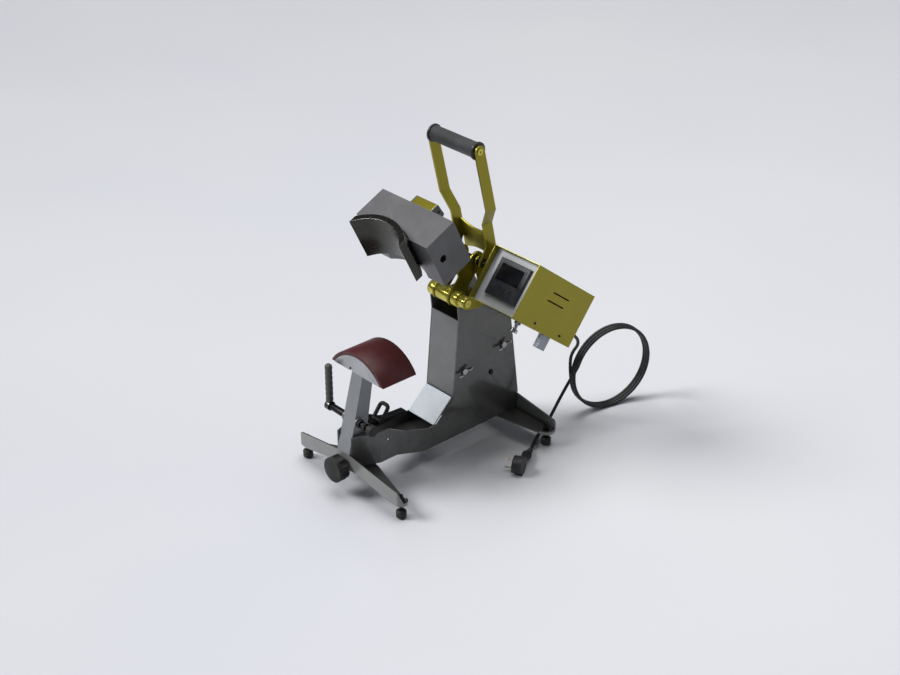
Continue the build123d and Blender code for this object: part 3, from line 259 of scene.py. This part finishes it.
class Surface:
    """A node material that is built up layer by layer over a colour and a roughness."""

    def __init__(self, name, colour, roughness, metallic=0.0):
        self.material = bpy.data.materials.new(name)
        self.material.use_nodes = True
        self.tree = self.material.node_tree
        self.shader = self.tree.nodes["Principled BSDF"]
        self.shader.inputs["Base Color"].default_value = colour
        self.shader.inputs["Roughness"].default_value = roughness
        self.shader.inputs["Metallic"].default_value = metallic
        self.place = self.add("ShaderNodeTexCoord").outputs["Object"]

    def add(self, kind, **values):
        """A new node with these settings."""
        node = self.tree.nodes.new(kind)
        for key, value in values.items():
            setattr(node, key, value)
        return node

    def join(self, start, end):
        self.tree.links.new(start, end)

    def noise(self, scale, detail, stretch=EVEN):
        """Noise in the object's own metres."""
        mapping = self.add("ShaderNodeMapping")
        mapping.inputs["Scale"].default_value = stretch
        self.join(self.place, mapping.inputs["Vector"])
        noise = self.add("ShaderNodeTexNoise")
        noise.inputs["Scale"].default_value = scale
        noise.inputs["Detail"].default_value = detail
        noise.inputs["Roughness"].default_value = NOISE_ROUGHNESS
        self.join(mapping.outputs[0], noise.inputs["Vector"])
        return noise.outputs["Fac"]

    def ramp(self, fac, low, high):
        """Map a texture value to 0..1 between two levels."""
        node = self.add("ShaderNodeMapRange")
        node.inputs["From Min"].default_value = low
        node.inputs["From Max"].default_value = high
        self.join(fac, node.inputs["Value"])
        return node.outputs["Result"]

    def spots(self, scale, detail, low, high, stretch=EVEN):
        """Soft spots: 0 where the noise is under the low level, 1 above the high one."""
        return self.ramp(self.noise(scale, detail, stretch), low, high)

    def lay(self, kind, socket, fac, value):
        """Mix a value over what this socket of the shader has so far."""
        mix = self.add("ShaderNodeMix", data_type=kind)
        target = self.shader.inputs[socket]
        if target.links:
            self.join(target.links[0].from_socket, mix.inputs["A"])
        else:
            mix.inputs["A"].default_value = target.default_value
        mix.inputs["B"].default_value = value
        self.join(fac, mix.inputs["Factor"])
        self.join(mix.outputs["Result"], target)

    def tint(self, fac, colour):
        self.lay("RGBA", "Base Color", fac, colour)

    def gloss(self, fac, roughness):
        self.lay("FLOAT", "Roughness", fac, roughness)

    def bump(self, fac, distance):
        """Raise the surface by up to a distance in metres."""
        node = self.add("ShaderNodeBump")
        node.inputs["Distance"].default_value = distance
        node.inputs["Strength"].default_value = 1.0
        self.join(fac, node.inputs["Height"])
        self.join(node.outputs["Normal"], self.shader.inputs["Normal"])

    def edges(self, colour, roughness, radius=0.0012, strength=0.8):
        """Worn edges: where the rounded normal departs from the face's own."""
        bevel = self.add("ShaderNodeBevel", samples=4)
        bevel.inputs["Radius"].default_value = radius
        geometry = self.add("ShaderNodeNewGeometry")
        dot = self.add("ShaderNodeVectorMath", operation="DOT_PRODUCT")
        self.join(bevel.outputs["Normal"], dot.inputs[0])
        self.join(geometry.outputs["Normal"], dot.inputs[1])
        edge = self.ramp(dot.outputs["Value"], FLAT, ROUNDED)
        broken = self.spots(420, 3, 0.35, 0.65)
        product = self.add("ShaderNodeMath", operation="MULTIPLY")
        self.join(edge, product.inputs[0])
        self.join(broken, product.inputs[1])
        scaled = self.add("ShaderNodeMath", operation="MULTIPLY", use_clamp=True)
        self.join(product.outputs[0], scaled.inputs[0])
        scaled.inputs[1].default_value = strength
        self.tint(scaled.outputs[0], colour)
        self.gloss(scaled.outputs[0], roughness)

    def set(self, **values):
        """Set the shader's own sockets, such as Coat_Weight."""
        for key, value in values.items():
            self.shader.inputs[key.replace("_", " ")].default_value = value


def painted(name, colour, roughness, coat):
    """Smooth stove enamel on sheet steel: fine orange peel, faint patches and bright edges."""
    s = Surface(name, colour, roughness)
    s.tint(s.spots(14, 3, 0.35, 0.75), mixed(colour, WHITE, 0.035))
    s.tint(s.spots(60, 5, 0.5, 0.85), mixed(colour, BLACK, 0.06))
    s.gloss(s.spots(35, 4, 0.4, 0.7), roughness + 0.05)
    s.bump(s.noise(900, 2), 0.00004)
    s.edges(mixed(colour, WHITE, 0.25), roughness * 0.7)
    s.set(Coat_Weight=coat, Coat_Roughness=0.08)
    return s.material


def channel_enamel(name):
    """The foot beams: light outside, with painted shade and dark reflection on upward faces."""
    colour = linear(118, 120, 118)
    s = Surface(name, colour, 0.3)
    s.tint(s.spots(14, 3, 0.35, 0.75), mixed(colour, WHITE, 0.035))
    s.edges(mixed(colour, WHITE, 0.3), 0.22)
    # Painted shade and dark reflection: faces that look up are tinted dark grey.
    geometry = s.add("ShaderNodeNewGeometry")
    split = s.add("ShaderNodeSeparateXYZ")
    s.join(geometry.outputs["Normal"], split.inputs[0])
    s.tint(s.ramp(split.outputs["Z"], 0.35, 0.75), linear(44, 44, 42))
    s.bump(s.noise(900, 2), 0.00004)
    s.set(Coat_Weight=0.35, Coat_Roughness=0.08)
    return s.material


def zinc_yellow(name, colour, stretch, roughness=0.3):
    """Yellow passivated zinc: rolled sheet lines under a slightly blotchy olive film."""
    s = Surface(name, colour, roughness, metallic=0.75)
    s.tint(s.spots(9, 4, 0.35, 0.7), mixed(colour, linear(150, 128, 40), 0.18))
    s.tint(s.spots(38, 5, 0.5, 0.75), mixed(colour, linear(96, 108, 40), 0.10))
    s.tint(s.spots(160, 6, 0.62, 0.8), mixed(colour, linear(150, 110, 80), 0.10))
    s.gloss(s.spots(25, 5, 0.35, 0.7), roughness + 0.06)
    s.bump(s.noise(240, 4, stretch), 0.00003)
    s.edges(mixed(colour, linear(235, 228, 170), 0.6), roughness * 0.6)
    return s.material


def bare_metal(name, colour, roughness, grain, stretch=EVEN, depth=0.00003):
    """Machined or plated metal with fine tool lines."""
    s = Surface(name, colour, roughness, metallic=1.0)
    s.tint(s.spots(22, 5, 0.4, 0.75), mixed(colour, BLACK, 0.22))
    s.tint(s.spots(300, 4, 0.6, 0.8), mixed(colour, BLACK, 0.3))
    s.gloss(s.spots(grain, 4, 0.35, 0.7, stretch), roughness + 0.15)
    s.bump(s.noise(grain, 4, stretch), depth)
    s.edges(mixed(colour, WHITE, 0.35), roughness * 0.7, strength=0.6)
    return s.material


def moulded(name, colour, roughness, grain=1400, depth=0.00005, sheen=0.0):
    """Moulded plastic or rubber with a fine spark-eroded grain."""
    s = Surface(name, colour, roughness)
    s.tint(s.spots(30, 4, 0.4, 0.75), mixed(colour, WHITE, 0.03))
    s.tint(s.spots(500, 3, 0.55, 0.8), mixed(colour, linear(120, 118, 112), 0.06))
    s.gloss(s.spots(60, 4, 0.4, 0.7), roughness + 0.12)
    s.bump(s.noise(grain, 2), depth)
    s.edges(mixed(colour, WHITE, 0.10), roughness, strength=0.6)
    s.set(Sheen_Weight=sheen)
    return s.material


def silicone(name):
    """Smooth dark red silicone with a faint bloom and tiny pits."""
    colour = linear(66, 12, 15)
    s = Surface(name, colour, 0.42)
    s.tint(s.spots(16, 4, 0.35, 0.75), mixed(colour, linear(120, 56, 58), 0.12))
    s.tint(s.spots(120, 5, 0.55, 0.8), mixed(colour, linear(60, 16, 18), 0.3))
    s.gloss(s.spots(45, 4, 0.4, 0.7), 0.55)
    s.bump(s.noise(1100, 2), 0.00005)
    s.edges(linear(118, 62, 62), 0.5, radius=0.002)
    s.set(Subsurface_Weight=0.05, Subsurface_Radius=(0.004, 0.001, 0.001))
    return s.material


COLLAR_START = 0.0604          # from the middle plane to a black end collar of the grip
COLLAR_SEAM = 0.0001           # the foam ends this far before the collar


def foam(name):
    """Grip foam: closed cells, matt, with a dusty sheen, between smooth black end collars."""
    colour = linear(26, 27, 29)
    s = Surface(name, colour, 0.7)
    s.tint(s.spots(40, 5, 0.4, 0.75), mixed(colour, linear(120, 122, 128), 0.10))
    s.tint(s.spots(700, 3, 0.55, 0.8), mixed(colour, BLACK, 0.35))
    s.bump(s.noise(900, 3), 0.00018)
    s.edges(linear(110, 112, 118), 0.7, radius=0.002, strength=0.5)
    split = s.add("ShaderNodeSeparateXYZ")
    s.join(s.place, split.inputs[0])
    shift = s.add("ShaderNodeMath", operation="ADD")
    s.join(split.outputs["X"], shift.inputs[0])
    shift.inputs[1].default_value = ORIGIN_X * MM
    size = s.add("ShaderNodeMath", operation="ABSOLUTE")
    s.join(shift.outputs[0], size.inputs[0])
    collar = s.ramp(size.outputs[0], COLLAR_START - COLLAR_SEAM, COLLAR_START)
    s.tint(collar, linear(24, 24, 25))
    s.gloss(collar, 0.4)
    s.set(Sheen_Weight=0.15, Sheen_Roughness=0.5)
    return s.material


def lever_plastic(name):
    """Grey moulded grip of the clamp lever, with lighter patches."""
    colour = linear(66, 68, 65)
    s = Surface(name, colour, 0.5)
    s.tint(s.spots(30, 4, 0.4, 0.75), mixed(colour, linear(96, 98, 92), 0.3))
    s.bump(s.noise(1000, 3), 0.00008)
    s.edges(linear(96, 98, 94), 0.5, radius=0.0015, strength=0.5)
    return s.material


def display_glass(name):
    """Dark display glass with faint smears."""
    s = Surface(name, linear(16, 17, 22), 0.08)
    s.tint(s.spots(60, 3, 0.45, 0.8), linear(26, 28, 36))
    s.gloss(s.spots(200, 5, 0.5, 0.8), 0.2)
    s.bump(s.noise(500, 2), 0.00001)
    s.set(Coat_Weight=0.6, Coat_Roughness=0.05)
    return s.material


OLIVE = linear(141, 133, 38)
MATERIALS = {
    # Painted shade: a darker copy of the column's grey paint, for the side plates that turn from
    # the key light.
    "side": painted("enamel_side_painted_shade", linear(62, 62, 59), roughness=0.22, coat=0.6),
    "beam": channel_enamel("enamel_beam_painted_shade"),
    "column": painted("enamel_column", linear(98, 99, 100), roughness=0.34, coat=0.3),
    "post": painted("enamel_post", linear(116, 120, 124), roughness=0.32, coat=0.35),
    "housing": painted("enamel_housing", linear(82, 82, 84), roughness=0.42, coat=0.12),
    # Painted reflection: the sloped cover is bright steel, and its pale blue-grey stands in for
    # the light surround it mirrors.
    "cover": painted("pale_painted_reflection", linear(138, 150, 162), roughness=0.34, coat=0.2),
    "panel": painted("enamel_panel", linear(186, 190, 196), roughness=0.4, coat=0.1),
    "zinc_flat": zinc_yellow("zinc_yellow_flat", OLIVE, ALONG_Y),
    "zinc_long": zinc_yellow("zinc_yellow_long", OLIVE, ALONG_Z),
    "zinc_turned": zinc_yellow(
        "zinc_yellow_turned", linear(196, 188, 84), (1, 0.3, 0.3), roughness=0.18),
    "bolt": bare_metal("zinc_plated", linear(176, 178, 180), 0.26, grain=650),
    "dark_metal": bare_metal(
        "dark_shaft", linear(84, 84, 85), 0.26, grain=800, stretch=(0.2, 1, 1), depth=0.00001),
    "black_bolt": bare_metal("blackened_steel", linear(44, 44, 45), 0.34, grain=600),
    "heater": bare_metal(
        "cast_heater", linear(66, 66, 62), 0.2,
        grain=420, stretch=(1, 0.08, 1), depth=0.000005),
    "platen": bare_metal(
        "milled_platen", linear(168, 170, 172), 0.3,
        grain=500, stretch=(1, 0.06, 1), depth=0.00002),
    "sink": bare_metal(
        "drawn_heatsink", linear(150, 155, 166), 0.34, grain=700, stretch=(1, 1, 0.04)),
    "brass": bare_metal("nickel_pins", linear(196, 190, 176), 0.22, grain=500),
    "liner": moulded("mica_liner", linear(24, 24, 24), 0.7),
    "wool": moulded("dark_wool", linear(34, 32, 30), 0.95, grain=900, depth=0.0006),
    "black": moulded("black_plastic", linear(34, 34, 36), 0.38),
    "controller": moulded(
        "controller_plastic", linear(38, 40, 44), 0.3, grain=1600, depth=0.00003),
    "button": moulded("button_plastic", linear(24, 25, 28), 0.35),
    "rubber": moulded(
        "black_rubber", linear(11, 11, 10), 0.62, grain=1000, depth=0.00008, sheen=0.1),
    "knob": moulded("knob_bakelite", linear(5, 5, 6), 0.6, grain=1500, depth=0.00003),
    "cord": moulded("cord_rubber", linear(14, 15, 18), 0.5, grain=1200, depth=0.00003),
    "pad": silicone("red_silicone"),
    "foam": foam("grip_foam"),
    "lever": lever_plastic("lever_plastic"),
    "window": display_glass("display_glass"),
}

# The CAD nodes in each material.
LOOKS = {
    "side": ["side_plate_left", "side_plate_right"],
    "beam": ["front_foot_beam", "rear_foot_beam", "bridge_floor_plate"],
    "column": ["column_front_plate", "column_back_plate"],
    "post": ["platen_post", "clamp_flanges"],
    "cover": ["sloped_cover"],
    "housing": ["head_housing", "housing_back_cover", "head_saddle"],
    "wool": ["head_insulation"],
    "heater": ["heating_plate"],
    "liner": ["heater_liner"],
    "platen": ["lower_platen"],
    "pad": ["silicone_pad"],
    "zinc_flat": [
        "head_arm_left", "head_arm_right", "head_block", "box_shell", "slotted_stays",
        "handle_tie",
    ],
    "zinc_long": ["handle_bar_left", "handle_bar_right"],
    "zinc_turned": ["pivot_tubes", "pivot_sleeve", "pivot_bolt", "grip_rod"],
    "bolt": [
        "cross_pins", "head_cross_pin", "front_screw", "box_bolt", "wing_bolt_front",
        "wing_bolt_rear",
    ],
    "dark_metal": ["clamp_lever"],
    "black_bolt": [
        "foot_studs_and_nuts", "clamp_arm", "small_screws", "clamp_shaft", "clamp_shaft_nuts",
        "handle_pivot_bolt", "handle_bushes",
    ],
    "knob": ["front_knob", "clamp_knob"],
    "lever": ["lever_grip"],
    "foam": ["handle_grip"],
    "panel": ["front_panel"],
    "controller": ["controller"],
    "button": ["controller_button_left", "controller_button_right"],
    "sink": ["heatsink"],
    "rubber": ["rubber_feet", "cord_gland", "clamp_hook"],
    "cord": ["power_cord", "cord_coil", "plug_body"],
    "brass": ["plug_pins"],
}

# Rolled edges: width of the rounded edge in millimetres, for the nodes that differ from the rest.
EDGE = 0.35
EDGES = {
    "head_housing": 0.9, "housing_back_cover": 0.6, "box_shell": 0.6, "silicone_pad": 1.6,
    "heating_plate": 0.5, "lower_platen": 0.8, "rubber_feet": 0.8, "front_knob": 0.8,
    "side_plate_left": 0.7, "side_plate_right": 0.7, "platen_post": 0.8, "head_block": 0.7,
    "controller": 0.8, "sloped_cover": 0.7, "column_front_plate": 0.6, "plug_body": 1.0,
}
SHARP = math.radians(32)       # a corner that turns more than this is rounded
WELD = 2e-6                    # metres


def round_edges(obj, width):
    """Round the sharp edges of a CAD node by modifiers alone, so that its mesh stays."""
    weld = obj.modifiers.new("weld", "WELD")
    weld.merge_threshold = WELD
    bevel = obj.modifiers.new("rounded", "BEVEL")
    bevel.width = width * MM
    bevel.segments = 2
    bevel.limit_method = "ANGLE"
    bevel.angle_limit = SHARP
    bevel.harden_normals = False
    bevel.use_clamp_overlap = True
    bevel.miter_outer = "MITER_ARC"


for look, names in LOOKS.items():
    for name in names:
        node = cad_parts[name]
        node.data.materials.clear()
        node.data.materials.append(MATERIALS[look])
        round_edges(node, EDGES.get(name, EDGE))


# ---- Controller window ----------------------------------------------------------------
# Drawing millimetres, along the control box's own tilted axes from the main pivot.
PIVOT_Y, PIVOT_Z = 257.0, 359.5
BOX_TILT = math.radians(38.0)
BOX_TURN = Matrix.Rotation(-BOX_TILT, 4, "X")


def on_box(x, depth, height):
    """A point given along the box's axes, in the frame."""
    turned = BOX_TURN @ Vector((0, depth, height))
    return at(x, PIVOT_Y + turned.y, PIVOT_Z + turned.z)


def rounded_slab(low, high, front_depth, back_depth, corner, steps=6):
    """A thin plate with rounded corners, square to the box's depth."""
    outline = []
    for cx, cz, start in (
        (high[0] - corner, high[1] - corner, 0), (low[0] + corner, high[1] - corner, 90),
        (low[0] + corner, low[1] + corner, 180), (high[0] - corner, low[1] + corner, 270),
    ):
        for k in range(steps + 1):
            a = math.radians(start + 90 * k / steps)
            outline.append((cx + corner * math.cos(a), cz + corner * math.sin(a)))
    made = bmesh.new()
    back = [made.verts.new(on_box(x, back_depth, z)) for x, z in outline]
    front = [made.verts.new(on_box(x, front_depth, z)) for x, z in outline]
    count = len(outline)
    for k in range(count):
        after = (k + 1) % count
        made.faces.new((back[k], back[after], front[after], front[k]))
    made.faces.new(front)
    made.faces.new(list(reversed(back)))
    bmesh.ops.recalc_face_normals(made, faces=made.faces)
    return made


CONTROLLER_X, CONTROLLER_Z = 126.5, 76.5
FACE = 2.0                     # depth of the controller's face
WINDOW_SIDE, WINDOW_DOWN, WINDOW_UP = 31.0, 6.0, 30.0   # from the controller's middle
BORDER = 3.5                   # of the frame round the window


def face_plate(name, look, border, proud, sunk, corner):
    """A plate over the window and a border round it, partly sunk into the controller's face."""
    low = (CONTROLLER_X - WINDOW_SIDE - border, CONTROLLER_Z - WINDOW_DOWN - border)
    high = (CONTROLLER_X + WINDOW_SIDE + border, CONTROLLER_Z + WINDOW_UP + border)
    made = rounded_slab(low, high, FACE - proud, FACE + sunk, corner)
    mesh = bpy.data.meshes.new(name)
    made.to_mesh(mesh)
    made.free()
    plate = linked(name, mesh)
    mesh.materials.append(MATERIALS[look])
    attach(plate, "frame")


face_plate("controller_window_frame", "button", BORDER, proud=0.8, sunk=0.4, corner=4.0)
face_plate("controller_window", "window", 0, proud=1.2, sunk=0.2, corner=2.0)

# ---- Cord materials and facts ---------------------------------------------------------
cord.data.materials.append(MATERIALS["cord"])
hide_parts("power_cord", "cord_coil")
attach(cord, "frame")
relief.data.materials.append(MATERIALS["rubber"])
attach(relief, "frame")
sleeve.data.materials.append(MATERIALS["black"])
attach(sleeve, "frame")

# ---- Stage and light ------------------------------------------------------------------
FLOOR_REACH = 14.0             # metres from the middle to each side
FLOOR_GAP = 0.0005             # metres under the feet
TARGET = (0, 0, 0.25)          # what the lamps point at
PLAIN = (1, 1, 1)
WORLD_STRENGTH = 0.25


def add_floor():
    mesh = bpy.data.meshes.new("floor")
    made = bmesh.new()
    bmesh.ops.create_grid(made, x_segments=1, y_segments=1, size=FLOOR_REACH)
    made.to_mesh(mesh)
    made.free()
    floor = linked("floor", mesh)
    floor.location = (0, 0, -FLOOR_GAP)
    s = Surface("studio_floor", linear(205, 206, 209), 0.34)
    s.tint(s.spots(0.7, 2, 0.3, 0.8), linear(198, 200, 207))
    mesh.materials.append(s.material)


def add_light(name, place, size, power, colour=PLAIN):
    """A round studio lamp, in metres and watts."""
    data = bpy.data.lights.new(name, "AREA")
    data.shape = "DISK"
    data.size = size
    data.energy = power
    data.color = colour
    lamp = linked(name, data)
    lamp.location = place
    lamp.rotation_mode = "QUATERNION"
    lamp.rotation_quaternion = (Vector(TARGET) - Vector(place)).to_track_quat("-Z", "Y")


def add_sun(name, place, softness, strength, colour=PLAIN):
    """An even light from one side, with the softness of a large studio lamp, in degrees."""
    data = bpy.data.lights.new(name, "SUN")
    data.angle = math.radians(softness)
    data.energy = strength
    data.color = colour
    lamp = linked(name, data)
    lamp.rotation_mode = "QUATERNION"
    lamp.rotation_quaternion = Vector(place).to_track_quat("Z", "Y")


def add_world():
    """A grey surround, lighter overhead."""
    world = bpy.data.worlds.new("studio")
    bpy.context.scene.world = world
    world.use_nodes = True
    tree = world.node_tree
    background = tree.nodes["Background"]
    place = tree.nodes.new("ShaderNodeTexCoord")
    split = tree.nodes.new("ShaderNodeSeparateXYZ")
    ramp = tree.nodes.new("ShaderNodeValToRGB")
    tree.links.new(place.outputs["Generated"], split.inputs[0])
    shift = tree.nodes.new("ShaderNodeMapRange")
    shift.inputs["From Min"].default_value = -1
    shift.inputs["From Max"].default_value = 1
    tree.links.new(split.outputs["Z"], shift.inputs["Value"])
    tree.links.new(shift.outputs["Result"], ramp.inputs["Fac"])
    below, above = ramp.color_ramp.elements
    below.color = linear(150, 150, 150)
    above.color = linear(216, 219, 226)
    ramp.color_ramp.elements.new(0.5).color = linear(150, 152, 158)
    tree.links.new(ramp.outputs["Color"], background.inputs["Color"])
    background.inputs["Strength"].default_value = WORLD_STRENGTH


add_floor()
add_world()
add_sun("key", place=(-2.1, -2.5, 3.0), softness=24, strength=2.5, colour=(1.0, 0.99, 0.98))
add_sun("sky", place=(-0.4, 0.4, 3.6), softness=42, strength=1.35)
add_light("top", place=(-0.4, 0.6, 3.6), size=2.6, power=38)
add_light("rim", place=(2.6, 2.4, 1.9), size=1.4, power=5, colour=(0.93, 0.95, 1.0))
bpy.context.scene.view_settings.view_transform = "Standard"
